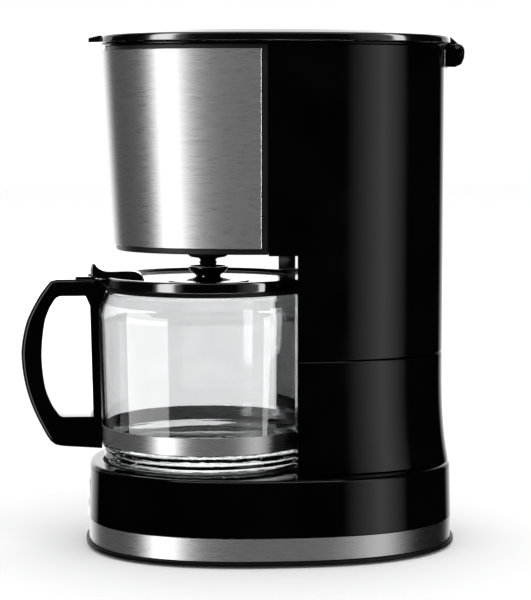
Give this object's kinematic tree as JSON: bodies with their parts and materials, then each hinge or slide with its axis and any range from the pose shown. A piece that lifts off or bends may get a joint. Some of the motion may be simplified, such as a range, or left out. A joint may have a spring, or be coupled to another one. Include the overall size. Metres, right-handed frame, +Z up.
{
  "type": "drip coffee maker",
  "caption": "Upright drip coffee maker: oval base with hotplate, water tank column, filter brewer with hinged lid, and a lidded glass carafe with a loop handle.",
  "frame": {"origin": "on the table, under the middle of the box round the whole machine with its carafe in place", "axes": "+Z up, -X towards the carafe handle and the front, +X towards the lid hinge and the back, Y across"},
  "size_m": [0.2624, 0.164, 0.304],
  "materials": {
    "gloss_black": "high-gloss moulded black",
    "matt_black": "matt moulded black",
    "brushed_steel": "brushed along the length",
    "plain_steel": "bright zinc-plated",
    "hotplate_coating": "non-stick coating",
    "black_rubber": "matt",
    "silicone": "translucent milky",
    "aluminium": "extruded",
    "clear_glass": "clear blown glass",
    "clear_plastic": "clear moulded window",
    "tank_plastic": "frosted",
    "insulator": "plain"
  },
  "bodies": {
    "machine": {"base_housing": "gloss_black", "lower_housing": "gloss_black", "tank_housing": "gloss_black", "top_rim": "gloss_black", "bottom_plate": "matt_black", "switch_bezel": "matt_black", "filter_housing": "matt_black", "filter_basket": "matt_black", "spray_head": "matt_black", "base_band": "brushed_steel", "steel_shell": "brushed_steel", "bottom_screw_1": "plain_steel", "bottom_screw_2": "plain_steel", "bottom_screw_3": "plain_steel", "bottom_screw_4": "plain_steel", "clamp_screw_1": "plain_steel", "clamp_screw_2": "plain_steel", "heater_clamp": "plain_steel", "heating_element": "plain_steel", "valve_spring": "plain_steel", "cold_hose_clamp": "plain_steel", "hot_hose_clamp": "plain_steel", "lid_hinge_pin": "plain_steel", "warming_plate": "hotplate_coating", "foot_1": "black_rubber", "foot_2": "black_rubber", "foot_3": "black_rubber", "foot_4": "black_rubber", "cord_gland": "black_rubber", "plate_gasket": "black_rubber", "cold_hose": "silicone", "hot_hose": "silicone", "riser_tube": "silicone", "water_channel": "aluminium", "level_window": "clear_plastic", "water_tank": "tank_plastic", "terminal_block": "insulator", "thermostat": "insulator", "thermal_fuse": "insulator", "check_valve": "insulator"},
    "lid": {"main_lid": "gloss_black"},
    "rocker": {"switch_rocker": "gloss_black"},
    "valve": {"drip_valve": "matt_black", "valve_seal": "silicone"},
    "carafe": {"carafe_glass": "clear_glass", "carafe_band": "brushed_steel", "carafe_collar": "matt_black", "carafe_handle": "gloss_black", "handle_screw": "plain_steel", "carafe_lid_pin": "plain_steel"},
    "carafe_lid": {"carafe_lid": "gloss_black"}
  },
  "joints": [
    {"name": "lid_hinge", "type": "hinge", "parent": "machine", "child": "lid", "pos_m": [0.12695, 0, 0.291], "axis": [0, 1, 0], "range_deg": [0, 95]},
    {"name": "valve_slide", "type": "slide", "parent": "machine", "child": "valve", "axis": [0, 0, 1], "range_m": [0, 0.004], "stiffness_N_per_m": 200, "springref_m": -0.003, "deforming": ["valve_spring"]},
    {"name": "rocker_tilt", "type": "hinge", "parent": "machine", "child": "rocker", "pos_m": [-0.08505, 0, 0.032], "axis": [0, 0, -1], "range_deg": [0, 16]},
    {"name": "carafe_slide", "type": "slide", "parent": "machine", "child": "carafe", "axis": [-1, 0, 0], "range_m": [0, 0.2]},
    {"name": "carafe_lid_hinge", "type": "hinge", "parent": "carafe", "child": "carafe_lid", "pos_m": [-0.08435, 0, 0.154], "axis": [0, -1, 0], "range_deg": [0, 3.5]}
  ]
}
